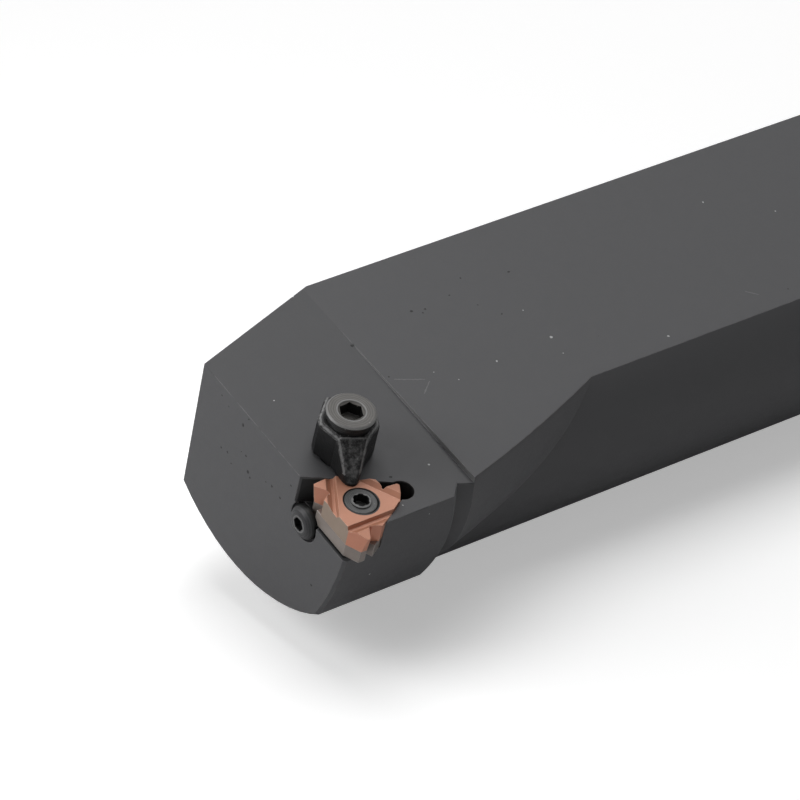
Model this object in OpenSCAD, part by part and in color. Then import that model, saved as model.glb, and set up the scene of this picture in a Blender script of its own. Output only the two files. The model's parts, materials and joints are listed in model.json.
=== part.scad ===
// Internal threading tool holder: a round boring bar with one long clamping
// flat, an offset head, and a three-corner laydown threading insert that lies
// on an anvil and is held by its own screw and by a finger clamp.
// Millimetres. +Y runs along the bar from the head to the rear end, +X is the
// cutting side and +Z is the side of the clamping flat. The origin is on the
// shank's axis at the rear end face.

/* [Shank] */
// Overall length of the bar, from the head's front face to the rear end
bar_length = 350; // [220:10:450]
// Diameter of the round shank
shank_d = 50; // [48:1:54]
// Height of the clamping flat above the shank's axis
flat_height = 15.6; // [14.6:0.2:16.6]
// Bevel round the rear end
rear_bevel = 1.5; // [0.5:0.5:4]
// Bevel round the shank's front end, under the head
shank_front_bevel = 1.2; // [0.4:0.2:2]

/* [Head] */
// How far the head's round cutting side reaches out from the shank's axis
head_reach = 31.7; // [31:0.1:32.4]
// Radius of the head's round cutting side
head_side_r = 54; // [48:1:60]
// Height of the middle of that round side above the shank's axis
head_side_z = 13; // [11:0.5:15]
// Depth of the head's underside below the shank's axis
head_low = 16.2; // [15:0.2:18]
// Radius of the head's rounded underside
head_low_r = 32.2; // [30:0.2:35]
// Middle of the underside's round, from the shank's axis
head_low_x = 5.6; // [4:0.2:7]
// Distance of the head's far edge from the shank's axis, at the front
far_edge = 11; // [9:0.5:12]
// Angle of the flat that is milled down the head's far side
far_angle = 18.1; // [15:0.1:22]
// Bevel round the head's front edge
front_bevel = 0.5; // [0.3:0.1:1.2]
// Distance from the front face to the foot of the head's sloping shoulder
shoulder_y = 22.5; // [21:0.5:24]

/* [Flare] */
// Sideways place of the axis that the flare and the shoulder are turned about
flare_x = 4; // [3:0.5:5]
// Height of that axis above the shank's axis
flare_z = 9.3; // [8.5:0.1:10]
// Reach of the flare from the shank's axis, along the flat's edge
flare_reach = 30.4; // [29.5:0.1:31]
// How far the flare draws in to the foot of the shoulder
neck_dip = 1.2; // [0.6:0.1:1.6]
// Height of the axis that the shoulder is turned about, above the shank's axis
shoulder_z = 7.6; // [6.5:0.1:9]
// Distance from the front face to the flare's thin end
flare_end = 57.3; // [50:0.5:75]
// Swell of the flare's side between its two ends
flare_swell = 0.5; // [0:0.1:1]

/* [Seat] */
// Distance from the front face to the step behind the seat
seat_length = 25.2; // [24.4:0.2:28]
// Fall of the seat towards the cutting side
seat_tilt = 1.6; // [0.8:0.1:2.4]
// Angle between the seat's far edge and the bar's axis
seat_yaw = 4.5; // [0:0.5:8]

/* [Insert] */
// Diameter of the circle that fits inside the insert
insert_ic = 10.4; // [10.2:0.1:10.6]
// Thickness of the insert
insert_t = 3.75; // [3.6:0.05:3.9]
// Middle of the insert, from the shank's axis towards the cutting side
insert_x = 26.4; // [26:0.1:27]
// Middle of the insert behind the front face
insert_y = 5.5; // [5.4:0.1:6]
// How far the insert's top stands above the seat
insert_proud = 0.7; // [0.6:0.1:1]
// Reach of each cutting tooth from the middle of the insert
tooth_reach = 7.4; // [7.3:0.1:7.6]
// Distance of the tooth's middle line from the insert's side
tooth_offset = 1.9; // [1.8:0.05:2]
// Half of the angle between the tooth's flanks
tooth_half_angle = 28; // [27.5:0.5:29]
// Width of the flat at the tooth's tip
tooth_flat = 0.4; // [0.2:0.05:0.6]
// Height of the tooth above the notch behind it
tooth_height = 2.5; // [2.3:0.1:2.6]
// Distance of the chip groove's wall from the middle of the insert
groove_start = 3.75; // [3.6:0.05:3.85]
// Depth of the chip groove at its wall
groove_depth = 0.7; // [0.5:0.05:0.8]
// Depth of the ridge between the chip groove and the tooth
ridge_depth = 0.15; // [0.05:0.05:0.25]
// Clearance angle of the tooth's flanks
flank_clearance = 10; // [5:1:12]
// Diameter of the hole through the insert for its screw
insert_hole_d = 4.3; // [4.1:0.1:4.5]

/* [Anvil] */
// Thickness of the anvil under the insert
anvil_t = 2.6; // [2.4:0.1:3]
// How far the anvil's sides lie inside the insert's sides
anvil_inset = 0.1; // [0.05:0.05:0.3]
// Reach of the anvil's blunt corners from its middle
anvil_reach = 6.6; // [6.4:0.1:6.8]

/* [Screws] */
// Thread diameter of the insert screw
insert_screw_d = 3.5; // [3.1:0.1:3.8]
// Head diameter of the insert screw
insert_screw_head_d = 5.5; // [5.3:0.1:5.6]
// Distance between opposite lobes of the insert screw's recess
lobe_recess_d = 2.8; // [2.4:0.1:3.2]
// Thread diameter of the anvil screw
anvil_screw_d = 3; // [2.5:0.1:3.4]
// Head diameter of the anvil screw
anvil_screw_head_d = 6.1; // [5.7:0.1:6.4]
// Head height of the anvil screw
anvil_screw_head_h = 1.75; // [1.5:0.05:2]
// Size of the anvil screw's hexagon socket across its flats
anvil_hex_af = 2.2; // [1.5:0.1:2.5]
// Depth of the anvil screw's seat behind the front face
anvil_screw_seat = 0.7; // [0.5:0.1:0.9]
// Anvil screw's axis, from the shank's axis towards the cutting side
anvil_screw_x = 20.2; // [19.6:0.1:20.6]

/* [Clamp] */
// Clamp screw's axis, from the shank's axis towards the cutting side
clamp_x = 15.5; // [15:0.1:16]
// Clamp screw's axis behind the front face
clamp_y = 9.4; // [9:0.1:10.2]
// Turn of the clamp from square across the bar, towards the front
clamp_turn = 24.8; // [22:0.2:28]
// Reach of the clamp's nose from its screw
clamp_reach = 8.4; // [8:0.1:8.4]
// Width of the clamp beside its screw
clamp_w = 10; // [9.6:0.1:10.4]
// Width of the clamp across its rear end
clamp_rear_w = 5.8; // [5:0.2:7]
// Distance from the clamp's screw to its rear end
clamp_rear = 5.9; // [5.5:0.1:6.5]
// Width of the nose's tip
nose_w = 2.8; // [2.4:0.1:3.2]
// Width of the clamp where the nose begins
crease_w = 5.4; // [4.8:0.1:6]
// Height of the clamp above the seat
clamp_h = 7.2; // [6.4:0.1:8]
// Thread diameter of the clamp screw
clamp_screw_d = 5; // [4.5:0.1:5.4]
// Head diameter of the clamp screw
clamp_screw_head_d = 8.4; // [8.1:0.1:8.6]
// Head height of the clamp screw
clamp_screw_head_h = 2.3; // [2:0.1:2.6]
// Thickness of the rim round the clamp screw's head
clamp_screw_rim = 1; // [0.8:0.1:1.2]
// Size of the clamp screw's hexagon socket across its flats
clamp_hex_af = 3.6; // [3:0.1:3.8]

/* [Hidden] */
$fn = 96;

// Small overlap that lets one cut run clean through the next
eps = 0.01;
// Size of the blocks that cut away everything beyond a plane
big = 400;

// Clearances
seat_gap = 0.05;
thread_gap = 0.06;
hole_gap = 0.25;

shank_r = shank_d / 2;
shank_chord = sqrt(shank_r * shank_r - flat_height * flat_height);
inscribed_r = insert_ic / 2;
stack_t = insert_t + anvil_t;

// Height of the seat over the shank's axis at a point behind the front face
function seat_z(x, y) =
    flat_height - tan(seat_tilt) * ((x + far_edge) * cos(seat_yaw) - y * sin(seat_yaw));

// A point turned about the origin
function spin(p, a) = [p[0] * cos(a) - p[1] * sin(a), p[0] * sin(a) + p[1] * cos(a)];

// Puts its children at the head, measured from the middle of the front face
module at_head() {
    translate([0, -bar_length, 0]) children();
}

// A frame on the seat, whose Z is square to it
module on_seat(x, y) {
    at_head() translate([x, y, seat_z(x, y)])
        rotate([0, 0, -seat_yaw]) rotate([0, seat_tilt, 0]) rotate([0, 0, seat_yaw]) children();
}

// The insert's frame: Z = 0 is its top face and +X is its cutting direction
module on_insert() {
    on_seat(insert_x, insert_y) translate([0, 0, insert_proud]) children();
}

// The clamp's frame: Z = 0 is the seat and +X points along the nose
module on_clamp() {
    on_seat(clamp_x, clamp_y) rotate([0, 0, -clamp_turn]) children();
}

// A cone or cylinder along +Y, from y0 to y1
module along_y(x, z, y0, y1, r0, r1) {
    translate([x, y0, z]) rotate([-90, 0, 0]) cylinder(h = y1 - y0, r1 = r0, r2 = r1);
}

// One of the head's rounds, with the bevel at the front edge
module head_round(x, z, r) {
    along_y(x, z, 0, front_bevel, r - front_bevel, r);
    along_y(x, z, front_bevel - eps, shoulder_y + eps, r, r);
}

module shank() {
    along_y(0, 0, shoulder_y, shoulder_y + shank_front_bevel, shank_r - shank_front_bevel, shank_r);
    along_y(0, 0, shoulder_y + shank_front_bevel - eps, bar_length - rear_bevel, shank_r, shank_r);
    along_y(0, 0, bar_length - rear_bevel - eps, bar_length, shank_r, shank_r - rear_bevel);
}

// The flare is turned about an axis of its own. Its thin end meets the shank
// at the edge of the clamping flat.
flare_end_r = norm([shank_chord - flare_x, flat_height - flare_z]);
flare_max_r = norm([flare_reach - flare_x, flat_height - flare_z]);
neck_r = flare_max_r - neck_dip;
flare_steps = 6;
flare_side = [for (i = [0 : flare_steps]) let (t = i / flare_steps)
    [flare_max_r + (flare_end_r - flare_max_r) * t + flare_swell * 4 * t * (1 - t),
     seat_length + (flare_end - seat_length) * t]];

module flare() {
    intersection() {
        translate([flare_x, 0, flare_z]) rotate([-90, 0, 0]) rotate_extrude()
            polygon(concat([[0, shoulder_y], [neck_r, shoulder_y]], flare_side, [[0, flare_end]]));
        translate([0, 0, -big / 2]) cube([big, big, big]);
    }
}

// The shoulder is a cone at 45 degrees, whose foot meets the flare at the edge
// of the clamping flat
neck_reach = sqrt(neck_r * neck_r - (flat_height - flare_z) * (flat_height - flare_z));
shoulder_r = norm([neck_reach, flat_height - shoulder_z]);

module head() {
    intersection() {
        head_round(head_reach - head_side_r, head_side_z, head_side_r);
        head_round(head_low_x, head_low_r - head_low, head_low_r);
        along_y(flare_x, shoulder_z, -eps, shoulder_y + eps, shoulder_r + shoulder_y, shoulder_r);
    }
}

// Everything above the clamping flat
module flat_cut() {
    translate([-big / 2, -10, flat_height]) cube([big, bar_length + 20, big]);
}

// The vertical flat down the far side of the head
module far_cut() {
    translate([-far_edge, 0, 0]) rotate([0, 0, far_angle])
        translate([-big, -10, -big / 2]) cube([big, 200, big]);
}

// The seat: a plane that falls away from the front far corner
module seat_cut() {
    intersection() {
        translate([-far_edge, 0, flat_height]) rotate([0, 0, -seat_yaw]) rotate([0, seat_tilt, 0])
            translate([0, -20, 0]) cube([100, 100, 40]);
        translate([-big / 2, -20, 0]) cube([big, 20 + seat_length, big]);
    }
}

// Pocket for the anvil and the insert: two walls at 60 degrees to each other,
// open to the front and to the cutting side, with a round relief where they meet
pocket_wall = inscribed_r + seat_gap;
pocket_depth_y = 30;
relief_r = 2.1;
relief_x = 0.4;
under_h = 0.5;
under_run = 1.5;
relief_y = 1.5 * pocket_wall;
apex_half = (2 * pocket_wall - relief_y) * tan(30);

module pocket_cut() {
    on_insert() translate([0, 0, -stack_t]) {
        linear_extrude(height = 20)
            polygon([[-apex_half, relief_y], [apex_half, relief_y],
                     [pocket_depth_y * tan(30), 2 * pocket_wall - pocket_depth_y],
                     [-pocket_depth_y * tan(30), 2 * pocket_wall - pocket_depth_y]]);
        translate([relief_x, relief_y, 0]) cylinder(r = relief_r, h = 20);
        // Undercut along the floor's front edge
        translate([-pocket_wall * 1.7, -insert_y - 1, -under_h])
            cube([pocket_wall * 4, under_run + 1, under_h + eps]);
    }
}

// Insert screw
insert_screw_len = 11;
insert_thread_depth = 7;
csink_angle = 30;
csink_d = insert_screw_head_d + 0.4;
csink_depth = (csink_d - insert_hole_d) / 2 / tan(csink_angle);
insert_head_rim = 0.25;
insert_head_rise = 0.3;

module insert_thread_hole() {
    on_insert() translate([0, 0, -stack_t - insert_thread_depth])
        cylinder(d = insert_screw_d + 2 * thread_gap, h = insert_thread_depth + 1);
}

// Anvil screw: it lies just under the pocket's floor, and its head stands in
// front of the anvil
anvil_screw_len = 6;
anvil_screw_wall = 0.3;
head_clearance = 0.4;
anvil_cbore_d = anvil_screw_head_d + 2 * head_clearance;
anvil_screw_z = seat_z(anvil_screw_x, 0) + insert_proud - stack_t
                - anvil_screw_wall - thread_gap - anvil_screw_d / 2;

module anvil_screw_hole() {
    anvil_screw_cbore();
    along_y(anvil_screw_x, anvil_screw_z, 0, anvil_screw_seat + anvil_screw_len + 1,
            anvil_screw_d / 2 + thread_gap, anvil_screw_d / 2 + thread_gap);
}

module anvil_screw_cbore() {
    along_y(anvil_screw_x, anvil_screw_z, -5, anvil_screw_seat, anvil_cbore_d / 2, anvil_cbore_d / 2);
}

// Clamp screw, and the bed that its retaining ring sinks into
clamp_screw_len = 16;
clamp_thread_depth = 14;
ring_t = 0.8;
ring_d = 7.4;
ring_bed_d = 8.4;
ring_bed_depth = 1.6;

module clamp_screw_hole() {
    on_clamp() {
        translate([0, 0, -clamp_thread_depth])
            cylinder(d = clamp_screw_d + 2 * thread_gap, h = clamp_thread_depth + 5);
        translate([0, 0, -ring_bed_depth]) cylinder(d = ring_bed_d, h = ring_bed_depth + 5);
    }
}

module holder_body() {
    color([0.27, 0.27, 0.28])
    difference() {
        at_head() difference() {
            union() {
                shank();
                flare();
                head();
            }
            flat_cut();
            far_cut();
            seat_cut();
            anvil_screw_hole();
        }
        pocket_cut();
        insert_thread_hole();
        clamp_screw_hole();
    }
}

// One corner of an insert or anvil, which points to +X: the end of one side,
// its tooth, the notch beside it and the start of the next side
function corner(side, reach, offset, flat_w, height) =
    let (tip_y = offset - side,
         slope = tan(tooth_half_angle),
         foot_y = tip_y + flat_w / 2 + height * slope,
         next_y = foot_y + 0.95)
    [[reach - (offset - flat_w / 2) / slope, -side],
     [reach, tip_y - flat_w / 2],
     [reach, tip_y + flat_w / 2],
     [reach - height, foot_y],
     [reach - height, foot_y + 0.35],
     [(side - next_y * sin(30)) / cos(30), next_y]];

module three_corners(points, height) {
    linear_extrude(height = height)
        polygon([for (k = [0 : 2]) for (p = points) spin(p, 120 * k)]);
}

// Chip groove across one corner, seen along the insert's side: its wall, a
// slope up to a low ridge and the rake face of the tooth
wall_run = 0.3;
floor_run = 0.8;
ridge_run = 1.65;
tip_drop = 0.5;
groove_section = [
    [groove_start, 1], [groove_start, 0], [groove_start + wall_run, -groove_depth],
    [groove_start + floor_run, -groove_depth],
    [groove_start + ridge_run, -ridge_depth], [tooth_reach, -tip_drop],
    [tooth_reach + 2, -tip_drop], [tooth_reach + 2, 1]
];

module chip_groove() {
    translate([0, 15, 0]) rotate([90, 0, 0]) linear_extrude(height = 30) polygon(groove_section);
}

// What the clearance takes off under the two flanks and the tip of one tooth
module tooth_relief() {
    tip_y = tooth_offset - inscribed_r;
    for (side = [-1, 1])
        translate([tooth_reach, tip_y + side * tooth_flat / 2, 0])
            rotate([0, 0, -side * tooth_half_angle]) rotate([side * flank_clearance, 0, 0])
                translate([-8 + (side > 0 ? 8 - tooth_height / cos(tooth_half_angle) : 0),
                           side > 0 ? 0 : -10, -10])
                    cube([20, 10, 10]);
    translate([tooth_reach, tip_y - 5, 0]) rotate([0, flank_clearance, 0])
        translate([0, 0, -10]) cube([10, 10, 10]);
}

module threading_insert() {
    color([0.80, 0.56, 0.45])
    on_insert() difference() {
        translate([0, 0, -insert_t])
            three_corners(corner(inscribed_r, tooth_reach, tooth_offset, tooth_flat, tooth_height),
                          insert_t);
        for (k = [0 : 2]) rotate([0, 0, 120 * k]) {
            chip_groove();
            tooth_relief();
        }
        translate([0, 0, -insert_t - 1]) cylinder(d = insert_hole_d, h = insert_t + 2);
        translate([0, 0, -csink_depth]) cylinder(d1 = insert_hole_d, d2 = csink_d, h = csink_depth);
        translate([0, 0, -eps]) cylinder(d = csink_d, h = 1);
    }
}

// Anvil: a plain plate of the insert's form with blunt corners
anvil_tooth_flat = 1.2;
anvil_tooth_height = 1.3;

module anvil() {
    side = inscribed_r - anvil_inset;
    color([0.45, 0.45, 0.46])
    difference() {
        on_insert() translate([0, 0, -stack_t])
            three_corners(corner(side, anvil_reach, tooth_offset, anvil_tooth_flat, anvil_tooth_height),
                          anvil_t);
        on_insert() translate([0, 0, -stack_t - 1]) cylinder(d = insert_screw_d + 0.6, h = anvil_t + 2);
        at_head() anvil_screw_cbore();
    }
}

// Six-lobe recess: a round with six round bites between the lobes
module six_lobe(d) {
    difference() {
        circle(d = d);
        for (k = [0 : 5]) rotate(60 * k) translate([d * 0.62, 0]) circle(d = d * 0.36);
    }
}

module hexagon(af) {
    circle(d = af / cos(30), $fn = 6);
}

module insert_screw() {
    head_r = insert_screw_head_d / 2;
    shaft_r = insert_screw_d / 2;
    cone_h = (head_r - shaft_r) / tan(csink_angle);
    rim_z = -insert_head_rim - 0.1;
    centre_r = lobe_recess_d / 2 + 0.35;
    color([0.20, 0.21, 0.22])
    on_insert() difference() {
        union() {
            translate([0, 0, -insert_screw_len]) cylinder(r = shaft_r, h = insert_screw_len - 1);
            translate([0, 0, rim_z - cone_h]) cylinder(r1 = shaft_r, r2 = head_r, h = cone_h);
            translate([0, 0, rim_z - eps]) cylinder(r = head_r, h = insert_head_rim - 0.1 + eps);
            translate([0, 0, rim_z + insert_head_rim - 0.1 - eps])
                cylinder(r1 = head_r, r2 = head_r - 0.15, h = 0.1 + eps);
            translate([0, 0, rim_z]) cylinder(r = centre_r, h = insert_head_rim + insert_head_rise - 0.1);
            translate([0, 0, rim_z + insert_head_rim + insert_head_rise - 0.1 - eps])
                cylinder(r1 = centre_r, r2 = centre_r - 0.15, h = 0.1 + eps);
        }
        translate([0, 0, -1.5]) linear_extrude(height = 5) six_lobe(lobe_recess_d);
    }
}

// Domed head turned about Z: an upright rim, a round shoulder and a flat top
module button_dome(r, h, rim, top_r) {
    steps = 6;
    rotate_extrude() polygon(concat(
        [[0, 0], [r, 0], [r, rim]],
        [for (i = [1 : steps]) [top_r + (r - top_r) * cos(90 * i / steps),
                                rim + (h - rim) * sin(90 * i / steps)]],
        [[0, h]]));
}

module anvil_screw() {
    h = anvil_screw_head_h;
    color([0.16, 0.16, 0.17])
    at_head() translate([anvil_screw_x, anvil_screw_seat, anvil_screw_z]) rotate([90, 0, 0])
    difference() {
        union() {
            translate([0, 0, -anvil_screw_len]) cylinder(d = anvil_screw_d, h = anvil_screw_len + eps);
            button_dome(anvil_screw_head_d / 2, h, 0.35, 1.6);
        }
        translate([0, 0, h - 1.1]) linear_extrude(height = 3) hexagon(anvil_hex_af);
    }
}

// Clamp: a six-sided body with bevelled upper edges, and a nose that falls
// from the crease to a rounded tip
crease_x = 3.9;
clamp_gap = 0.6;
clamp_edge = 0.7;
clamp_heel = 1.5;
nose_pad = 2.5;
nose_end_h = 2.5;
nose_break_x = clamp_reach - 1.1;
nose_edge = 0.35;
tip_r = nose_w / 2 - 0.1;
tip_h = 0.5;
clamp_body_points = [[-clamp_rear, clamp_rear_w / 2], [-1, clamp_w / 2], [0.7, clamp_w / 2],
                     [crease_x, crease_w / 2]];

// The body's plan, with its edges drawn in
module clamp_plan(inset) {
    offset(delta = -inset) polygon(concat(
        clamp_body_points,
        [for (i = [len(clamp_body_points) - 1 : -1 : 0]) [clamp_body_points[i][0], -clamp_body_points[i][1]]]));
}

module clamp_body() {
    hull() {
        linear_extrude(height = clamp_h - clamp_edge) offset(r = 0.5, $fn = 32) clamp_plan(0.5);
        linear_extrude(height = clamp_h) offset(r = 0.3, $fn = 32) clamp_plan(clamp_edge + 0.3);
    }
}

module clamp_nose() {
    hull() {
        translate([crease_x - 1.5, 0, 0]) {
            translate([0, -crease_w / 2, 0]) cube([eps, crease_w, clamp_h - clamp_edge]);
            translate([0, -crease_w / 2 + clamp_edge, 0]) cube([eps, crease_w - 2 * clamp_edge, clamp_h]);
        }
        translate([crease_x, 0, 0]) {
            translate([0, -crease_w / 2, 0]) cube([eps, crease_w, clamp_h - clamp_edge]);
            translate([0, -crease_w / 2 + clamp_edge, 0]) cube([eps, crease_w - 2 * clamp_edge, clamp_h]);
        }
        translate([nose_break_x, 0, 0]) {
            translate([0, -nose_w / 2, 0]) cube([eps, nose_w, nose_end_h - nose_edge]);
            translate([0, -nose_w / 2 + nose_edge, 0]) cube([eps, nose_w - 2 * nose_edge, nose_end_h]);
        }
        translate([clamp_reach - tip_r, 0, 0]) cylinder(r = tip_r, h = insert_proud + tip_h, $fn = 32);
    }
}

module clamp() {
    color([0.13, 0.13, 0.13])
    on_clamp() difference() {
        union() {
            clamp_body();
            clamp_nose();
        }
        translate([-clamp_rear + clamp_heel, -clamp_w, -1])
            cube([clamp_rear - clamp_heel + clamp_reach, 2 * clamp_w, 1 + clamp_gap]);
        translate([clamp_reach - nose_pad, -clamp_w, -1])
            cube([nose_pad + 1, 2 * clamp_w, 1 + insert_proud]);
        translate([0, 0, -1]) cylinder(d = clamp_screw_d + 2 * hole_gap, h = clamp_h + 2);
    }
}

// The ring lies in a groove of the clamp screw, just under the clamp
ring_z = clamp_gap - ring_t - 0.1;
ring_groove = 0.45;
ring_slot_w = 1.6;

module clamp_screw() {
    r = clamp_screw_head_d / 2;
    top = clamp_h + clamp_screw_head_h;
    foot_r = r - 0.55;
    foot_h = clamp_screw_head_h - clamp_screw_rim;
    edge = 0.3;
    color([0.20, 0.20, 0.20])
    on_clamp() difference() {
        union() {
            translate([0, 0, clamp_h - clamp_screw_len]) cylinder(d = clamp_screw_d, h = clamp_screw_len + eps);
            translate([0, 0, clamp_h]) cylinder(r = foot_r, h = foot_h + eps);
            translate([0, 0, clamp_h + foot_h]) cylinder(r = r, h = clamp_screw_rim - edge);
            translate([0, 0, top - edge - eps]) cylinder(r1 = r, r2 = r - edge, h = edge + eps);
        }
        translate([0, 0, top - 2.4]) linear_extrude(height = 3) hexagon(clamp_hex_af);
        translate([0, 0, top - 0.35])
            cylinder(d1 = clamp_hex_af, d2 = clamp_hex_af + 1.1, h = 0.35 + eps);
        translate([0, 0, ring_z]) difference() {
            cylinder(d = clamp_screw_d + 2, h = ring_t);
            translate([0, 0, -1]) cylinder(d = clamp_screw_d - 2 * ring_groove, h = ring_t + 2);
        }
    }
}

module retaining_ring() {
    color([0.35, 0.35, 0.36])
    on_clamp() translate([0, 0, ring_z]) difference() {
        cylinder(d = ring_d, h = ring_t);
        translate([0, 0, -1])
            cylinder(d = clamp_screw_d - 2 * ring_groove + 2 * seat_gap, h = ring_t + 2);
        translate([0, -ring_slot_w / 2, -1]) cube([ring_d, ring_slot_w, ring_t + 2]);
    }
}

holder_body();
anvil();
anvil_screw();
threading_insert();
insert_screw();
clamp();
clamp_screw();
retaining_ring();
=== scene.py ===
"""Dresses the threading tool holder: finishes, worn edges, dust, floor, light and camera."""
import json
import math

import bpy
from mathutils import Matrix, Vector


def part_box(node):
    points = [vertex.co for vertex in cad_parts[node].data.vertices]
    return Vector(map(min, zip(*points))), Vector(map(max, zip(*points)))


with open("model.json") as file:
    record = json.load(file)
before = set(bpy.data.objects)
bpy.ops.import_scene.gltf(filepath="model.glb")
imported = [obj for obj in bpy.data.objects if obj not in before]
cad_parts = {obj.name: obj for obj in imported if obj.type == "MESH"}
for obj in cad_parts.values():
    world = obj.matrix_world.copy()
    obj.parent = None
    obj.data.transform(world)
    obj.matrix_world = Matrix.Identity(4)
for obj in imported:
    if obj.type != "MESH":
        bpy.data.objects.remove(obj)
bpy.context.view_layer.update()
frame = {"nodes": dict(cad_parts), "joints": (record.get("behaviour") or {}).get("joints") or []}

MM = 0.001
BAR_LENGTH = 0.350
UP = (0.0, 0.0, 1.0)
CUTTING_SIDE = (1.0, 0.0, 0.0)
FORWARD = Vector((0.0, -1.0, 0.0))


# Places on the holder

def head_point(x, behind, z):
    """A point in millimetres, measured from the middle of the head's front face."""
    return Vector((x * MM, behind * MM - BAR_LENGTH, z * MM))


def middle(node):
    """Middle of a node's box at rest."""
    low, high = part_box(node)
    return (low + high) / 2


joints = {joint["name"]: joint for joint in frame["joints"]}
CLAMP_CENTRE = Vector(joints["screw_turn"]["pos_m"])
CLAMP_AXIS = Vector(joints["screw_turn"]["axis"]).normalized()
INSERT_MIDDLE = middle("insert_screw")


# Camera, as fitted to the photograph

CAMERA_AZIMUTH = math.radians(46.39)
CAMERA_ELEVATION = math.radians(42.23)
CAMERA_ROLL = math.radians(12.44)
CAMERA_DISTANCE = 0.7251
CAMERA_TARGET = head_point(14.97, 20.0, 21.61)
FOCAL_PIXELS = 4500
FRAME_PIXELS = 800
SENSOR = 36.0
NEAREST, FARTHEST = 0.01, 50.0


def make_camera():
    back = Vector((math.sin(CAMERA_AZIMUTH) * math.cos(CAMERA_ELEVATION),
                   -math.cos(CAMERA_AZIMUTH) * math.cos(CAMERA_ELEVATION),
                   math.sin(CAMERA_ELEVATION)))
    level_right = Vector((math.cos(CAMERA_AZIMUTH), math.sin(CAMERA_AZIMUTH), 0.0))
    level_up = back.cross(level_right)
    right = level_right * math.cos(CAMERA_ROLL) + level_up * math.sin(CAMERA_ROLL)
    up = level_up * math.cos(CAMERA_ROLL) - level_right * math.sin(CAMERA_ROLL)
    data = bpy.data.cameras.new("camera")
    data.sensor_width = SENSOR
    data.lens = SENSOR * FOCAL_PIXELS / FRAME_PIXELS
    data.clip_start = NEAREST
    data.clip_end = FARTHEST
    camera = bpy.data.objects.new("camera", data)
    place = Matrix((right, up, back)).transposed().to_4x4()
    place.translation = CAMERA_TARGET + back * CAMERA_DISTANCE
    camera.matrix_world = place
    bpy.context.scene.collection.objects.link(camera)
    bpy.context.scene.camera = camera


# Node helpers

# A Mix node has one A, B and Result for each type, so the colour's are taken by number
MIX_FACTOR, MIX_LOW, MIX_HIGH, MIX_COLOUR = 0, 6, 7, 2
# A noise runs from 0 to 1 round this value
NOISE_MIDDLE = 0.5


def grey(tone):
    return (tone, tone, tone, 1.0)


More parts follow.
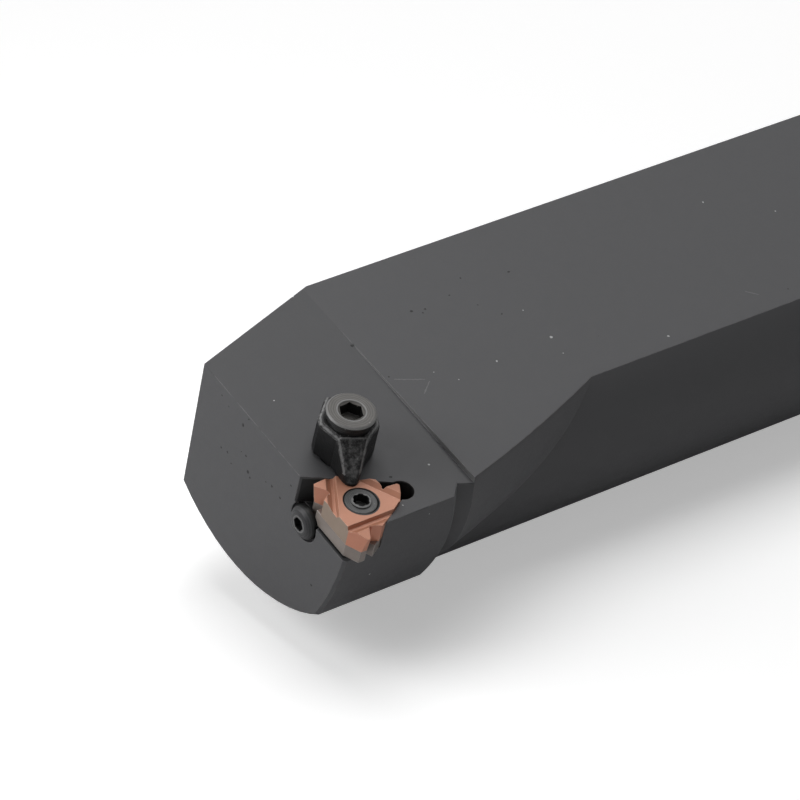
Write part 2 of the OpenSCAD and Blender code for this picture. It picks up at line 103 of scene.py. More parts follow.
class Nodes:
    """Adds and links nodes in one tree."""

    def __init__(self, tree):
        self.tree = tree

    def add(self, kind, **settings):
        node = self.tree.nodes.new(kind)
        for name, value in settings.items():
            setattr(node, name, value)
        return node

    def put(self, value, socket):
        """Links an output to a socket, or sets the socket to a constant."""
        if isinstance(value, bpy.types.NodeSocket):
            self.tree.links.new(value, socket)
        else:
            socket.default_value = value

    def math(self, operation, *values, clamp=False):
        node = self.add("ShaderNodeMath", operation=operation, use_clamp=clamp)
        for index, value in enumerate(values):
            self.put(value, node.inputs[index])
        return node.outputs[0]

    def product(self, first, *others):
        for other in others:
            first = self.math("MULTIPLY", first, other)
        return first

    def vector_math(self, operation, *values):
        node = self.add("ShaderNodeVectorMath", operation=operation)
        for index, value in enumerate(values):
            self.put(value, node.inputs[index])
        gives_number = operation in ("DOT_PRODUCT", "LENGTH", "DISTANCE")
        return node.outputs["Value" if gives_number else "Vector"]

    def scale(self, vector, factor):
        """A vector or colour times a factor that changes over the surface."""
        node = self.add("ShaderNodeVectorMath", operation="SCALE")
        self.put(vector, node.inputs[0])
        self.put(factor, node.inputs["Scale"])
        return node.outputs[0]

    def remap(self, value, low, high, to_low, to_high):
        """Goes smoothly from one value to another as the given value goes from low to high."""
        node = self.add("ShaderNodeMapRange", interpolation_type="SMOOTHSTEP")
        for index, given in enumerate((value, low, high, to_low, to_high)):
            self.put(given, node.inputs[index])
        return node.outputs[0]

    def rise(self, value, low, high):
        """0 below low, and 1 above high."""
        return self.remap(value, low, high, 0.0, 1.0)

    def fall(self, value, low, high):
        """1 below low, and 0 above high."""
        return self.remap(value, low, high, 1.0, 0.0)

    def mix(self, factor, low, high):
        node = self.add("ShaderNodeMix", data_type="RGBA")
        self.put(factor, node.inputs[MIX_FACTOR])
        self.put(low, node.inputs[MIX_LOW])
        self.put(high, node.inputs[MIX_HIGH])
        return node.outputs[MIX_COLOUR]

    def over(self, base, top, mask, strength):
        """Lays a colour over a base where the mask is 1, at the given strength."""
        return self.mix(self.math("MULTIPLY", mask, strength), base, top)

    def place(self):
        """Where the surface is on the holder at rest, in metres."""
        return self.add("ShaderNodeTexCoord").outputs["Object"]

    def parts(self, vector):
        """The X, Y and Z of a vector."""
        node = self.add("ShaderNodeSeparateXYZ")
        self.put(vector, node.inputs[0])
        return node.outputs

    def facing(self, direction, low, high):
        """1 where the surface faces the given direction, and 0 where it turns away.

        The mask rises as the cosine of the angle between the two goes from low to high.
        """
        normal = self.add("ShaderNodeTexCoord").outputs["Normal"]
        return self.rise(self.vector_math("DOT_PRODUCT", normal, direction), low, high)

    def noise(self, vector, scale, detail, roughness):
        node = self.add("ShaderNodeTexNoise")
        self.put(vector, node.inputs["Vector"])
        self.put(scale, node.inputs["Scale"])
        node.inputs["Detail"].default_value = detail
        node.inputs["Roughness"].default_value = roughness
        return node.outputs["Fac"]

    def frayed(self, vector, scale, depth):
        """The same place, shifted a little by a noise, so that marks get ragged rims."""
        node = self.add("ShaderNodeTexNoise")
        self.put(vector, node.inputs["Vector"])
        self.put(scale, node.inputs["Scale"])
        centred = self.vector_math("SUBTRACT", node.outputs["Color"], (NOISE_MIDDLE,) * 3)
        return self.vector_math("ADD", vector, self.scale(centred, depth))

    def group(self, tree, **values):
        """Places a group, with underscores in the given names standing for spaces."""
        node = self.add("ShaderNodeGroup", node_tree=tree)
        for name, value in values.items():
            self.put(value, node.inputs[name.replace("_", " ")])
        return node.outputs


FLOAT = "NodeSocketFloat"
VECTOR = "NodeSocketVector"


def new_group(name, inputs, outputs):
    """Makes a group with the named sockets, and gives it with its builder and its two ends."""
    tree = bpy.data.node_groups.new(name, "ShaderNodeTree")
    for direction, sockets in (("INPUT", inputs), ("OUTPUT", outputs)):
        for socket, kind in sockets.items():
            tree.interface.new_socket(socket, in_out=direction, socket_type=kind)
    build = Nodes(tree)
    return tree, build, build.add("NodeGroupInput").outputs, build.add("NodeGroupOutput").inputs


# Effects that several materials share

# Noise at which patches of wear begin with no coverage, its fall at full coverage, and the
# width over which a patch fades
PATCH_START = 0.75
PATCH_FALL = 0.5
PATCH_BLEND = 0.2


def make_edge_wear():
    """Where an edge is rubbed, broken up into patches, and the normal of the rounded edge."""
    tree, build, given, out = new_group(
        "edge wear",
        {"Radius": FLOAT, "Gain": FLOAT, "Patch Scale": FLOAT, "Coverage": FLOAT},
        {"Mask": FLOAT, "Normal": VECTOR})
    bevel = build.add("ShaderNodeBevel", samples=6)
    build.put(given["Radius"], bevel.inputs["Radius"])
    surface = build.add("ShaderNodeNewGeometry").outputs["Normal"]
    alike = build.vector_math("DOT_PRODUCT", bevel.outputs["Normal"], surface)
    edge = build.math("MULTIPLY", build.math("SUBTRACT", 1.0, alike), given["Gain"], clamp=True)
    patches = build.noise(build.place(), given["Patch Scale"], detail=4.0, roughness=0.6)
    start = build.math("SUBTRACT", PATCH_START,
                       build.math("MULTIPLY", given["Coverage"], PATCH_FALL))
    kept = build.rise(patches, start, build.math("ADD", start, PATCH_BLEND))
    build.put(build.math("MULTIPLY", edge, kept), out["Mask"])
    build.put(bevel.outputs["Normal"], out["Normal"])
    return tree


# Shares of the broad and the fine noise in a mottle, and how much finer the fine one is
BROAD_SHARE = 0.65
FINE_SHARE = 0.35
FINE_RATIO = 14.0
# Brings a noise's swing of half to each side up to the given depth
FULL_SWING = 2.0


def make_mottle():
    """A slow, faint change of tone round 1, as a blackened surface has."""
    tree, build, given, out = new_group(
        "mottle", {"Scale": FLOAT, "Depth": FLOAT}, {"Factor": FLOAT})
    where = build.place()
    fine_scale = build.math("MULTIPLY", given["Scale"], FINE_RATIO)
    broad = build.noise(where, given["Scale"], detail=3.0, roughness=0.5)
    fine = build.noise(where, fine_scale, detail=3.0, roughness=0.6)
    both = build.math("ADD", build.math("MULTIPLY", broad, BROAD_SHARE),
                      build.math("MULTIPLY", fine, FINE_SHARE))
    swing = build.product(build.math("SUBTRACT", both, NOISE_MIDDLE), given["Depth"], FULL_SWING)
    build.put(build.math("ADD", 1.0, swing), out["Factor"])
    return tree


# The smallest speck's share of the given size, and the solid middle's share of each speck
SMALLEST_SPECK = 0.4
SPECK_CORE = 0.6


def make_specks():
    """Scattered specks: one in some of the cells, each of its own size."""
    tree, build, given, out = new_group(
        "specks", {"Scale": FLOAT, "Share": FLOAT, "Size": FLOAT}, {"Mask": FLOAT})
    cells = build.add("ShaderNodeTexVoronoi", feature="F1")
    build.put(build.place(), cells.inputs["Vector"])
    build.put(given["Scale"], cells.inputs["Scale"])
    dice = build.add("ShaderNodeSeparateColor")
    build.put(cells.outputs["Color"], dice.inputs[0])
    chosen = build.math("LESS_THAN", dice.outputs[0], given["Share"])
    own_size = build.remap(dice.outputs[1], 0.0, 1.0, SMALLEST_SPECK, 1.0)
    size = build.math("MULTIPLY", given["Size"], own_size)
    core = build.math("MULTIPLY", size, SPECK_CORE)
    round_spot = build.fall(cells.outputs["Distance"], core, size)
    build.put(build.math("MULTIPLY", chosen, round_spot), out["Mask"])
    return tree


# Scale of the coarse grain as a share of the fine grain's
COARSE_RATIO = 0.22


def make_grain():
    """Height of a fine blasted or forged grain."""
    tree, build, given, out = new_group(
        "grain", {"Scale": FLOAT, "Coarse Share": FLOAT}, {"Height": FLOAT})
    where = build.place()
    coarse_scale = build.math("MULTIPLY", given["Scale"], COARSE_RATIO)
    fine = build.noise(where, given["Scale"], detail=4.0, roughness=0.6)
    coarse = build.noise(where, coarse_scale, detail=3.0, roughness=0.5)
    build.put(build.math("ADD", fine, build.math("MULTIPLY", coarse, given["Coarse Share"])),
              out["Height"])
    return tree


# Scale of the noise that bends the rings, and how many pitches it moves them by
WOBBLE_SCALE = 900.0
WOBBLE_PITCHES = 0.6


def make_turned():
    """Fine rings round an axis, as a lathe leaves them on a screw's head."""
    tree, build, given, out = new_group(
        "turned rings",
        {"Centre": VECTOR, "Axis": VECTOR, "Pitch": FLOAT},
        {"Height": FLOAT, "Radius": FLOAT})
    where = build.place()
    arm = build.vector_math("SUBTRACT", where, given["Centre"])
    radius = build.vector_math("LENGTH", build.vector_math("CROSS_PRODUCT", arm, given["Axis"]))
    wobble = build.noise(where, WOBBLE_SCALE, detail=2.0, roughness=0.5)
    turns = build.math("ADD", build.math("DIVIDE", radius, given["Pitch"]),
                       build.math("MULTIPLY", wobble, WOBBLE_PITCHES))
    build.put(build.math("SINE", build.math("MULTIPLY", turns, 2 * math.pi)), out["Height"])
    build.put(radius, out["Radius"])
    return tree


EDGE_WEAR = make_edge_wear()
MOTTLE = make_mottle()
SPECKS = make_specks()
GRAIN = make_grain()
TURNED = make_turned()


# Parts of a material

def start_material(name, metallic, specular):
    """A material with its builder and its shader, which gets its roughness and colour later."""
    material = bpy.data.materials.new(name)
    material.use_nodes = True
    material.node_tree.nodes.clear()
    build = Nodes(material.node_tree)
    shader = build.add("ShaderNodeBsdfPrincipled")
    shader.inputs["Metallic"].default_value = metallic
    shader.inputs["Specular IOR Level"].default_value = specular
    output = build.add("ShaderNodeOutputMaterial")
    build.put(shader.outputs[0], output.inputs["Surface"])
    return material, build, shader


def roughen(build, shader, grain, low, high, smooth, rough):
    """Lets the roughness follow the grain, from smooth at its low to rough at its high."""
    build.put(build.remap(grain, low, high, smooth, rough), shader.inputs["Roughness"])


def bump(build, shader, height, strength, depth, normal):
    node = build.add("ShaderNodeBump")
    node.inputs["Strength"].default_value = strength
    node.inputs["Distance"].default_value = depth
    build.put(height, node.inputs["Height"])
    build.put(normal, node.inputs["Normal"])
    build.put(node.outputs[0], shader.inputs["Normal"])


# Share of a mark's half width that is solid, before it fades
SPOT_CORE = 0.5
LINE_CORE = 0.4


def spots(build, where, places):
    """Mask of round marks, each given as x, behind, z and radius in millimetres."""
    mask = 0.0
    for x, behind, z, radius in places:
        away = build.vector_math("DISTANCE", where, head_point(x, behind, z))
        spot = build.fall(away, radius * MM * SPOT_CORE, radius * MM)
        mask = build.math("MAXIMUM", spot, mask)
    return mask


def lines(build, where, runs, half_width):
    """Mask of straight thin marks, each given by its two ends, in metres."""
    mask = 0.0
    for start, end in runs:
        along = end - start
        arm = build.vector_math("SUBTRACT", where, start)
        reach = build.vector_math("DOT_PRODUCT", arm, along)
        share = build.math("DIVIDE", reach, along.length_squared, clamp=True)
        off = build.vector_math("SUBTRACT", arm, build.scale(along, share))
        away = build.vector_math("LENGTH", off)
        line = build.fall(away, half_width * LINE_CORE, half_width)
        mask = build.math("MAXIMUM", line, mask)
    return mask


# Body: marks in millimetres from the middle of the head's front face

FLAT_HEIGHT = 15.6
SEAT_SLOPE = math.tan(math.radians(1.6))
SEAT_YAW = math.radians(4.5)
FAR_EDGE = 11.0
SEAT_LENGTH = 25.2

# x, z and radius of pits in the front face
FRONT_PITS = (
    (-5.2, 13.5, 0.2), (-3.0, 12.8, 0.22), (1.3, 12.4, 0.38), (2.4, 14.6, 0.2),
    (-3.1, 3.6, 0.26), (-1.3, 4.0, 0.32), (3.4, 7.3, 0.3), (2.0, 7.1, 0.18),
    (0.1, 2.7, 0.24), (4.6, 4.7, 0.42), (5.3, 4.0, 0.28), (9.4, 6.7, 0.22),
    (11.0, 7.2, 0.34), (15.5, 11.3, 0.26), (13.5, 6.7, 0.3), (25.0, -2.8, 0.34))
# x, behind and radius of pits and dust on the flat and the seat
TOP_PITS = (
    (-6.8, 38.9, 0.36), (-6.2, 41.3, 0.3), (-5.6, 40.4, 0.22), (-7.7, 60.0, 0.3),
    (-7.3, 47.1, 0.2), (-3.2, 50.2, 0.22), (0.4, 52.6, 0.26), (-10.0, 51.4, 0.2),
    (-4.2, 24.9, 0.38), (23.6, 13.4, 0.3))
TOP_DUST = (
    (1.0, 5.8, 0.16), (24.0, 20.8, 0.24), (7.1, 33.6, 0.14), (10.4, 36.4, 0.14),
    (8.7, 56.9, 0.34), (17.2, 75.5, 0.26), (1.2, 56.5, 0.16), (9.5, 44.9, 0.22),
    (12.8, 56.4, 0.16), (-7.9, 102.7, 0.2), (-0.5, 113.2, 0.2), (29.6, 11.6, 0.18))
# x, behind, z and radius of dust on the cutting side
SIDE_DUST = ((31.6, 15.8, 12.6, 0.16), (30.5, 7.0, 1.6, 0.2), (30.1, 41.2, -0.1, 0.24))
# x and behind of both ends of scratches in the flat
SCRATCHES = (((5.7, 26.6), (7.9, 31.2)), ((8.7, 31.6), (10.6, 29.2)), ((14.0, 95.0), (15.6, 96.6)))
SCRATCH_HALF_WIDTH = 0.13 * MM
# Depth of a pit as a multiple of the grain's height
PIT_DEPTH = 3.0

# Where the masks of the painted shade in the pocket and of the painted light on the step's wall
# begin and end, in metres
POCKET_REACH = (10.6 * MM, 11.0 * MM)
POCKET_FRONT = (0.3 * MM - BAR_LENGTH, 0.5 * MM - BAR_LENGTH)
POCKET_TOP = (14.2 * MM, 14.5 * MM)
POCKET_FLOOR = (7.6 * MM, 8.0 * MM)
POCKET_SIDE = (30.4 * MM, 30.9 * MM)
STEP_PLACE = SEAT_LENGTH * MM - BAR_LENGTH
STEP_BLEND = 0.1 * MM
STEP_SKIN = (0.2 * MM, 0.3 * MM)
STEP_FOOT = (13.4 * MM, 13.6 * MM)
# Cosines between which a face begins to count as the seat or as the step's wall
SEAT_LEVEL = (0.9, 0.98)
STEP_UPRIGHT = (0.5, 0.9)

BLACKENED = (0.092, 0.092, 0.096)
# Near black, painted as shade in the pocket and, faintly, on the seat
PAINTED_BODY_SHADE = grey(0.01)
# Lighter grey, painted light on the step's wall, which lies in shade
PAINTED_STEP_LIGHT = grey(0.21)
RUBBED_EDGE = (0.34, 0.33, 0.34, 1.0)
SCORED = grey(0.3)
PITTED = grey(0.008)
BODY_DUST = grey(0.6)


def top_height(x, behind):
    """Height of the flat, or of the leaning seat in front of its step."""
    if behind > SEAT_LENGTH:
        return FLAT_HEIGHT
    across = (x + FAR_EDGE) * math.cos(SEAT_YAW) - behind * math.sin(SEAT_YAW)
    return FLAT_HEIGHT - SEAT_SLOPE * across


def on_top(marks):
    """Marks on the flat and the seat, with their height put in."""
    return [(x, behind, top_height(x, behind), radius) for x, behind, radius in marks]


def pocket_shade_mask(build, where):
    """1 inside the insert's pocket and its relief, where the blackening is painted darker as
    painted shade.
    """
    x, y, z = build.parts(where)
    arm = build.vector_math("SUBTRACT", where, INSERT_MIDDLE)
    level_arm = build.vector_math("MULTIPLY", arm, (1.0, 1.0, 0.0))
    return build.product(
        build.fall(build.vector_math("LENGTH", level_arm), *POCKET_REACH),
        build.rise(y, *POCKET_FRONT),
        build.fall(z, *POCKET_TOP),
        build.rise(z, *POCKET_FLOOR),
        build.fall(x, *POCKET_SIDE))


def seat_masks(build, where):
    """The milled seat, and the wall of the step behind it, which gets painted light."""
    _, y, z = build.parts(where)
    behind = build.math("SUBTRACT", y, STEP_PLACE)
    before_step = build.fall(behind, -STEP_BLEND, STEP_BLEND)
    seat = build.product(before_step, build.facing(UP, *SEAT_LEVEL))
    painted_light_wall = build.product(
        build.fall(build.math("ABSOLUTE", behind), *STEP_SKIN),
        build.rise(z, *STEP_FOOT),
        build.facing(FORWARD, *STEP_UPRIGHT))
    return seat, painted_light_wall


def blackened_body():
    """Satin black steel, with rubbed edges, pits, dust and a few scratches; painted shade in the
    pocket and on the seat, and painted light on the step's wall.
    """
    material, build, shader = start_material("blackened body", metallic=0.0, specular=0.2)
    where = build.place()
    ragged = build.frayed(where, scale=2200.0, depth=0.35 * MM)
    pit_place = build.frayed(where, scale=3000.0, depth=0.6 * MM)
    wear = build.group(EDGE_WEAR, Radius=0.25 * MM, Gain=5.0, Patch_Scale=260.0, Coverage=0.8)
    colour = build.scale(BLACKENED, build.group(MOTTLE, Scale=22.0, Depth=0.05)["Factor"])
    seat, painted_light_wall = seat_masks(build, where)
    # Painted shade: the pocket and its relief are painted near black, and the seat a little darker
    colour = build.over(colour, PAINTED_BODY_SHADE, mask=pocket_shade_mask(build, where), strength=0.85)
    colour = build.over(colour, PAINTED_BODY_SHADE, mask=seat, strength=0.1)
    # Painted light: the step's shaded wall is painted lighter
    colour = build.over(colour, PAINTED_STEP_LIGHT, mask=painted_light_wall, strength=0.8)
    colour = build.over(colour, RUBBED_EDGE, mask=wear["Mask"], strength=0.5)

    scored = [tuple(head_point(x, behind, FLAT_HEIGHT) for x, behind in ends)
              for ends in SCRATCHES]
    scratches = lines(build, ragged, scored, SCRATCH_HALF_WIDTH)
    colour = build.over(colour, SCORED, mask=scratches, strength=0.3)

    chosen = [(x, 0.0, z, radius) for x, z, radius in FRONT_PITS] + on_top(TOP_PITS)
    scattered = build.group(SPECKS, Scale=420.0, Share=0.05, Size=0.09)["Mask"]
    pits = build.math("MAXIMUM", spots(build, pit_place, chosen), scattered)
    colour = build.over(colour, PITTED, mask=pits, strength=0.9)

    chosen = on_top(TOP_DUST) + list(SIDE_DUST)
    scattered = build.group(SPECKS, Scale=250.0, Share=0.008, Size=0.06)["Mask"]
    dust = build.math("MAXIMUM", spots(build, ragged, chosen), scattered)
    colour = build.over(colour, BODY_DUST, mask=dust, strength=0.8)
    build.put(colour, shader.inputs["Base Color"])

    grain = build.group(GRAIN, Scale=2600.0, Coarse_Share=0.5)["Height"]
    roughen(build, shader, grain, low=0.3, high=1.2, smooth=0.45, rough=0.6)
    height = build.math("SUBTRACT", grain, build.math("MULTIPLY", pits, PIT_DEPTH))
    bump(build, shader, height, strength=0.12, depth=0.04 * MM, normal=wear["Normal"])
    return material


# Clamp: rubbed edges, in millimetres along its nose, across it and up from the seat

CLAMP_TURN = math.radians(-24.8)
NOSE_EDGE = ((3.9, 2.35, 6.9), (7.3, 1.25, 2.4))
BODY_EDGE = ((3.9, 2.35, 6.9), (0.7, 4.65, 6.9), (-1.0, 4.65, 6.9), (-5.6, 2.6, 6.9))
CREASE = ((3.9, -2.2, 7.2), (3.9, 2.2, 7.2))
CLAMP_EDGE_HALF_WIDTH = 0.28 * MM
# Cosines between which a face begins to count as an upper one, and as the flat top
CLAMP_UPPER = (0.2, 0.6)
CLAMP_FLAT_TOP = (0.85, 0.97)
# How far the scuffs stay off the flat top
TOP_KEPT_CLEAN = 0.75

FORGED = (0.01, 0.01, 0.0105)
SCUFFED = grey(0.17)
CLAMP_RUBBED = grey(0.2)
CLAMP_BRIGHT = grey(0.27)
CLAMP_DUST = grey(0.4)


def clamp_point(along, across, up):
    level = Vector((math.cos(CLAMP_TURN), math.sin(CLAMP_TURN), 0.0))
    nose = (level - CLAMP_AXIS * level.dot(CLAMP_AXIS)).normalized()
    sideways = CLAMP_AXIS.cross(nose)
    return CLAMP_CENTRE + (nose * along + sideways * across + CLAMP_AXIS * up) * MM


def clamp_edges():
    """The rubbed edges as runs from end to end, with both sides of the clamp alike."""
    runs = [CREASE]
    for path in (NOSE_EDGE, BODY_EDGE):
        for start, end in zip(path, path[1:]):
            runs.append((start, end))
            runs.append(tuple((along, -across, up) for along, across, up in (start, end)))
    return [(clamp_point(*start), clamp_point(*end)) for start, end in runs]


def forged_clamp():
    """Black forged steel, scuffed on the sloping nose and rubbed bright along its edges."""
    material, build, shader = start_material("forged clamp", metallic=0.0, specular=0.12)
    where = build.place()
    wear = build.group(EDGE_WEAR, Radius=0.35 * MM, Gain=6.0, Patch_Scale=1300.0, Coverage=0.85)
    colour = build.scale(FORGED, build.group(MOTTLE, Scale=240.0, Depth=0.5)["Factor"])

    upper = build.facing(CLAMP_AXIS, *CLAMP_UPPER)
    flat_top = build.math("MULTIPLY", build.facing(CLAMP_AXIS, *CLAMP_FLAT_TOP), TOP_KEPT_CLEAN)
    sloping = build.math("SUBTRACT", upper, flat_top)
    scuffs = build.noise(where, scale=1100.0, detail=6.0, roughness=0.7)
    scuffs = build.rise(scuffs, low=0.36, high=0.7)
    colour = build.over(colour, SCUFFED, mask=build.product(scuffs, sloping), strength=0.9)
    rubbed = build.product(wear["Mask"], upper)
    colour = build.over(colour, CLAMP_RUBBED, mask=rubbed, strength=0.5)

    ragged = build.frayed(where, scale=1800.0, depth=0.3 * MM)
    edges = lines(build, ragged, clamp_edges(), CLAMP_EDGE_HALF_WIDTH)
    breaks = build.noise(where, scale=1600.0, detail=4.0, roughness=0.6)
    breaks = build.remap(breaks, low=0.3, high=0.55, to_low=0.35, to_high=1.0)
    bright = build.product(edges, breaks)
    colour = build.over(colour, CLAMP_BRIGHT, mask=bright, strength=0.75)
    dust = build.group(SPECKS, Scale=1500.0, Share=0.06, Size=0.22)["Mask"]
    colour = build.over(colour, CLAMP_DUST, mask=dust, strength=0.7)
    build.put(colour, shader.inputs["Base Color"])

    grain = build.group(GRAIN, Scale=1700.0, Coarse_Share=1.2)["Height"]
    roughen(build, shader, grain, low=0.6, high=1.6, smooth=0.32, rough=0.55)
    bump(build, shader, grain, strength=0.5, depth=0.12 * MM, normal=wear["Normal"])
    return material


# Screws

# Near black, painted shade on the screw's sides and on the walls of its socket
PAINTED_SCREW_SHADE = grey(0.008)
SCREW_DUST = grey(0.3)
# Cosines between which a face begins to count as the head's face
SCREW_FACE = (0.3, 0.75)
# Tone of a ring's valley and of its crest, as shares of the screw's colour
RING_TONES = (0.78, 1.22)
# The socket's bright rim begins this far inside it, and fades between these distances outside
RIM_INSIDE = 0.1 * MM
RIM_OUTSIDE = (0.15 * MM, 0.3 * MM)
# The head's bright rim begins between these distances from its edge
HEAD_RIM = (0.4 * MM, 0.2 * MM)
RIM_STRENGTH = 0.6
WORN_STRENGTH = 0.7


def screw_steel(name, centre, axis, colour, pitch, edge_tone, socket_rim, head_rim=None,
                patchy=0.25):
    """Turned screw: rubbed grey on its face, painted shade near black on its sides and socket
    walls, with a bright socket rim.
    """
    material, build, shader = start_material(name, metallic=0.15, specular=0.3)
    wear = build.group(EDGE_WEAR, Radius=0.2 * MM, Gain=6.0, Patch_Scale=1200.0, Coverage=0.9)
    rings = build.group(TURNED, Centre=centre, Axis=axis, Pitch=pitch)
    tone = build.group(MOTTLE, Scale=350.0, Depth=patchy)["Factor"]
    ringed = build.math("MULTIPLY", tone, build.remap(rings["Height"], -1.0, 1.0, *RING_TONES))
    face = build.facing(axis, *SCREW_FACE)
    # Painted shade: all but the head's face is painted near black
    base = build.mix(face, PAINTED_SCREW_SHADE, build.scale(colour, ringed))

    radius = rings["Radius"]
    rim = build.product(build.rise(radius, socket_rim - RIM_INSIDE, socket_rim),
                        build.fall(radius, *(socket_rim + past for past in RIM_OUTSIDE)))
    if head_rim is not None:
        outer = build.rise(radius, *(head_rim - short for short in HEAD_RIM))
        rim = build.math("MAXIMUM", rim, outer)
    bright = build.math("MAXIMUM", build.math("MULTIPLY", wear["Mask"], WORN_STRENGTH),
                        build.math("MULTIPLY", rim, RIM_STRENGTH))
    base = build.mix(build.math("MULTIPLY", bright, face), base, grey(edge_tone))
    dust = build.group(SPECKS, Scale=1400.0, Share=0.14, Size=0.24)["Mask"]
    base = build.over(base, SCREW_DUST, mask=dust, strength=0.5)
    build.put(base, shader.inputs["Base Color"])

    grain = build.group(GRAIN, Scale=4000.0, Coarse_Share=0.5)["Height"]
    roughen(build, shader, grain, low=0.4, high=1.1, smooth=0.3, rough=0.5)
    bump(build, shader, rings["Height"], strength=0.18, depth=0.01 * MM, normal=wear["Normal"])
    return material


# Insert, anvil and ring

COPPER_TOP = (0.41, 0.182, 0.112)
# Painted reflections: beige of the pale floor on the front flank, redder tone of the shadowed
# floor on the cutting side
PAINTED_FRONT_REFLECTION = (0.28, 0.21, 0.16)
PAINTED_SIDE_REFLECTION = (0.56, 0.235, 0.15)
COPPER_EDGE = (0.7, 0.46, 0.36, 1.0)
COPPER_SPECK = (0.06, 0.03, 0.02, 1.0)
# Near black, painted shade in the gap round the insert's screw, and how far from its axis it
# reaches
PAINTED_GAP_SHADE = grey(0.006)
PAINTED_GAP_SHADE_REACH = (3.0 * MM, 3.1 * MM)
# Cosines between which a face begins to count as the cutting side, and as the top, for the painted
# reflections
INSERT_SIDE = (0.12, 0.35)
INSERT_TOP = (0.15, 0.5)
GROUND_GREY = (0.23, 0.195, 0.175)
RING_STEEL = (0.25, 0.25, 0.26)
BARE_EDGE = grey(0.5)
RING_ROUGHNESS = 0.35


def coated_insert():
    """Copper coating on the top, with painted reflections by the way a face points, beige on the
    front flank and redder on the cutting side, and painted shade round the screw.
    """
    material, build, shader = start_material("coated insert", metallic=0.2, specular=0.4)
    wear = build.group(EDGE_WEAR, Radius=0.12 * MM, Gain=8.0, Patch_Scale=1500.0, Coverage=0.9)
    tone = build.group(MOTTLE, Scale=420.0, Depth=0.12)["Factor"]
    # Painted reflection: the colour follows which way a face points, beige on the front flank and
    # redder on the cutting side
    top, front, side = (build.scale(colour, tone)
                        for colour in (COPPER_TOP, PAINTED_FRONT_REFLECTION, PAINTED_SIDE_REFLECTION))
    flank = build.mix(build.facing(CUTTING_SIDE, *INSERT_SIDE), front, side)
    colour = build.mix(build.facing(UP, *INSERT_TOP), flank, top)
    colour = build.over(colour, COPPER_EDGE, mask=wear["Mask"], strength=0.6)
    specks = build.group(SPECKS, Scale=1300.0, Share=0.05, Size=0.1)["Mask"]
    colour = build.over(colour, COPPER_SPECK, mask=specks, strength=0.7)

    # Painted shade: near black round the screw, where the gap lies in shade
    arm = build.vector_math("SUBTRACT", build.place(), INSERT_MIDDLE)
    from_axis = build.vector_math("LENGTH", build.vector_math("CROSS_PRODUCT", arm, CLAMP_AXIS))
    colour = build.mix(build.fall(from_axis, *PAINTED_GAP_SHADE_REACH), colour, PAINTED_GAP_SHADE)
    build.put(colour, shader.inputs["Base Color"])

    grain = build.group(GRAIN, Scale=5000.0, Coarse_Share=0.4)["Height"]
    roughen(build, shader, grain, low=0.3, high=1.1, smooth=0.35, rough=0.5)
    bump(build, shader, grain, strength=0.15, depth=0.01 * MM, normal=wear["Normal"])
    return material


def ground_carbide():
    """Ground grey carbide with bright edges."""
    material, build, shader = start_material("ground carbide", metallic=0.3, specular=0.5)
    wear = build.group(EDGE_WEAR, Radius=0.15 * MM, Gain=8.0, Patch_Scale=900.0, Coverage=0.85)
    colour = build.scale(GROUND_GREY, build.group(MOTTLE, Scale=500.0, Depth=0.2)["Factor"])
    colour = build.over(colour, BARE_EDGE, mask=wear["Mask"], strength=0.5)
    build.put(colour, shader.inputs["Base Color"])
    grain = build.group(GRAIN, Scale=6000.0, Coarse_Share=0.3)["Height"]
    roughen(build, shader, grain, low=0.3, high=1.1, smooth=0.3, rough=0.5)
    bump(build, shader, grain, strength=0.2, depth=0.01 * MM, normal=wear["Normal"])
    return material


def spring_steel():
    """Bright spring steel of the retaining ring."""
    material, build, shader = start_material("spring steel", metallic=0.8, specular=0.5)
    shader.inputs["Roughness"].default_value = RING_ROUGHNESS
    wear = build.group(EDGE_WEAR, Radius=0.1 * MM, Gain=3.0, Patch_Scale=900.0, Coverage=0.6)
    colour = build.scale(RING_STEEL, build.group(MOTTLE, Scale=500.0, Depth=0.2)["Factor"])
    colour = build.over(colour, BARE_EDGE, mask=wear["Mask"], strength=0.5)
    build.put(colour, shader.inputs["Base Color"])
    grain = build.group(GRAIN, Scale=4000.0, Coarse_Share=0.5)["Height"]
    bump(build, shader, grain, strength=0.2, depth=0.01 * MM, normal=wear["Normal"])
    return material


def dress_nodes():
    finishes = {
        "holder_body": blackened_body(),
        "clamp": forged_clamp(),
        "clamp_screw": screw_steel(
            "clamp screw steel", CLAMP_CENTRE, CLAMP_AXIS, colour=(0.082, 0.078, 0.073),
            pitch=0.4 * MM, edge_tone=0.24, socket_rim=2.3 * MM, head_rim=4.2 * MM),
        "anvil_screw": screw_steel(
            "anvil screw steel", middle("anvil_screw"), FORWARD, colour=(0.034, 0.034, 0.036),
            pitch=0.35 * MM, edge_tone=0.2, socket_rim=1.3 * MM, patchy=0.7),
        "insert_screw": screw_steel(
            "insert screw steel", INSERT_MIDDLE, CLAMP_AXIS, colour=(0.056, 0.056, 0.056),
            pitch=0.25 * MM, edge_tone=0.2, socket_rim=1.4 * MM),
        "threading_insert": coated_insert(),
        "anvil": ground_carbide(),
        "retaining_ring": spring_steel(),
    }
    for node, material in finishes.items():
        mesh = frame["nodes"][node].data
        mesh.materials.clear()
        mesh.materials.append(material)


# Floor, light and surroundings

FLOOR_DROP = 0.025
FLOOR_LEAN = math.radians(-15.7)
FLOOR_SIZE = 12.0
FLOOR_TONE = 0.8
SEEN_FLOOR_TONE = 0.9
SHADOW_TONE = 0.41
BAR_MIDDLE = (0.0, -BAR_LENGTH / 2, 0.0)
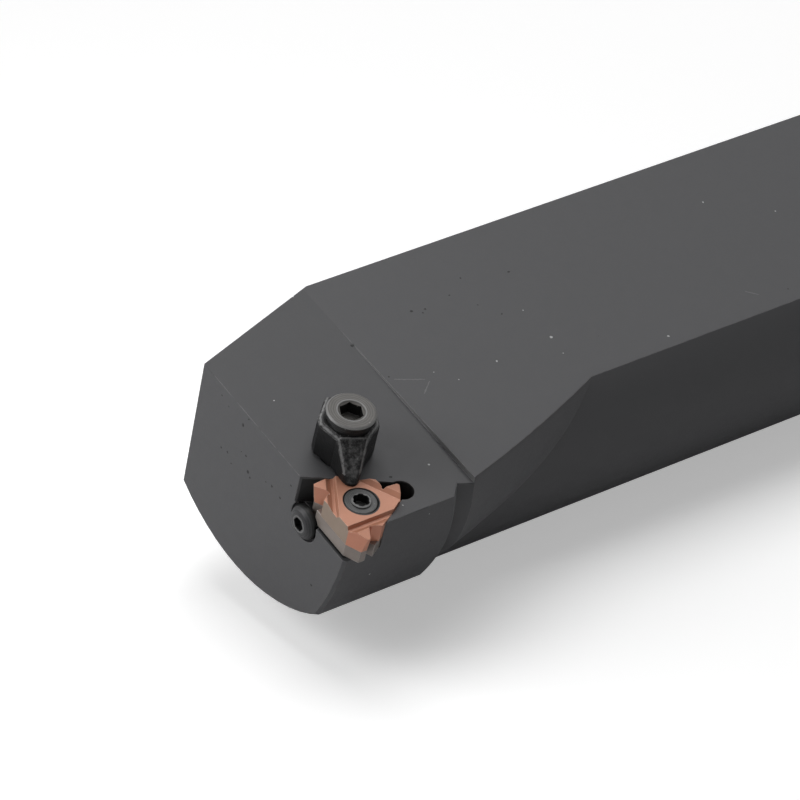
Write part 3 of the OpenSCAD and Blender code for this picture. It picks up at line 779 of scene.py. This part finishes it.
# Distances from the bar's middle between which the floor fades to plain white
PALE_FROM_TO = (0.26, 0.7)
WORLD_TONE = 0.07
WHITE = 1.0
KEY_OFFSET = Vector((-0.45, 0.2, 1.05))


def seen_rays(build):
    """The camera's own rays, and all rays that see the surroundings, reflected ones too."""
    path = build.add("ShaderNodeLightPath").outputs
    indirect = build.math("MAXIMUM", path["Is Glossy Ray"], path["Is Transmission Ray"])
    camera = path["Is Camera Ray"]
    return camera, build.math("MAXIMUM", camera, indirect)


def pale_floor():
    """Plain pale floor, seen as white with a light shadow from above, and clear from below."""
    material = bpy.data.materials.new("pale floor")
    material.use_nodes = True
    material.node_tree.nodes.clear()
    build = Nodes(material.node_tree)
    camera, seen = seen_rays(build)
    diffuse = build.add("ShaderNodeBsdfDiffuse")
    build.put(build.mix(seen, grey(FLOOR_TONE), grey(SEEN_FLOOR_TONE)), diffuse.inputs["Color"])
    glow = build.add("ShaderNodeEmission")
    away = build.vector_math("DISTANCE", build.place(), BAR_MIDDLE)
    tone = build.remap(away, *PALE_FROM_TO, SHADOW_TONE, WHITE)
    build.put(build.math("MULTIPLY", camera, tone), glow.inputs["Strength"])
    both = build.add("ShaderNodeAddShader")
    build.put(diffuse.outputs[0], both.inputs[0])
    build.put(glow.outputs[0], both.inputs[1])
    from_below = build.add("ShaderNodeMixShader")
    build.put(build.add("ShaderNodeNewGeometry").outputs["Backfacing"], from_below.inputs[0])
    build.put(both.outputs[0], from_below.inputs[1])
    build.put(build.add("ShaderNodeBsdfTransparent").outputs[0], from_below.inputs[2])
    output = build.add("ShaderNodeOutputMaterial")
    build.put(from_below.outputs[0], output.inputs["Surface"])
    return material


def make_floor():
    half = FLOOR_SIZE / 2
    corners = [(-half, -half, 0), (half, -half, 0), (half, half, 0), (-half, half, 0)]
    mesh = bpy.data.meshes.new("floor")
    mesh.from_pydata(corners, [], [(0, 1, 2, 3)])
    mesh.materials.append(pale_floor())
    floor = bpy.data.objects.new("floor", mesh)
    lean = Matrix.Rotation(FLOOR_LEAN, 4, "Y")
    floor.matrix_world = lean @ Matrix.Translation((0, 0, -FLOOR_DROP))
    bpy.context.scene.collection.objects.link(floor)


def make_world():
    """Faint even light, seen as white by the camera and in reflections."""
    world = bpy.data.worlds.new("studio")
    bpy.context.scene.world = world
    world.use_nodes = True
    world.node_tree.nodes.clear()
    build = Nodes(world.node_tree)
    _, seen = seen_rays(build)
    background = build.add("ShaderNodeBackground")
    build.put(build.mix(seen, grey(WORLD_TONE), grey(WHITE)), background.inputs["Color"])
    output = build.add("ShaderNodeOutputWorld")
    build.put(background.outputs[0], output.inputs["Surface"])


def area_light(name, place, aim, size, power):
    """A square soft light that the camera doesn't see."""
    data = bpy.data.lights.new(name, "AREA")
    data.shape = "SQUARE"
    data.size = size
    data.energy = power
    light = bpy.data.objects.new(name, data)
    light.location = place
    light.rotation_mode = "QUATERNION"
    light.rotation_quaternion = (aim - place).to_track_quat("-Z", "Y")
    light.visible_camera = False
    bpy.context.scene.collection.objects.link(light)


def make_lights():
    head = head_point(0, 60, 0)
    area_light("key", place=head + KEY_OFFSET, aim=head, size=0.9, power=8.2)
    area_light("front fill", place=head_point(-90, -150, 100), aim=head_point(-5, 0, 8),
               size=0.14, power=0.24)


make_camera()
dress_nodes()
make_floor()
make_world()
make_lights()
bpy.context.scene.view_settings.view_transform = "Standard"
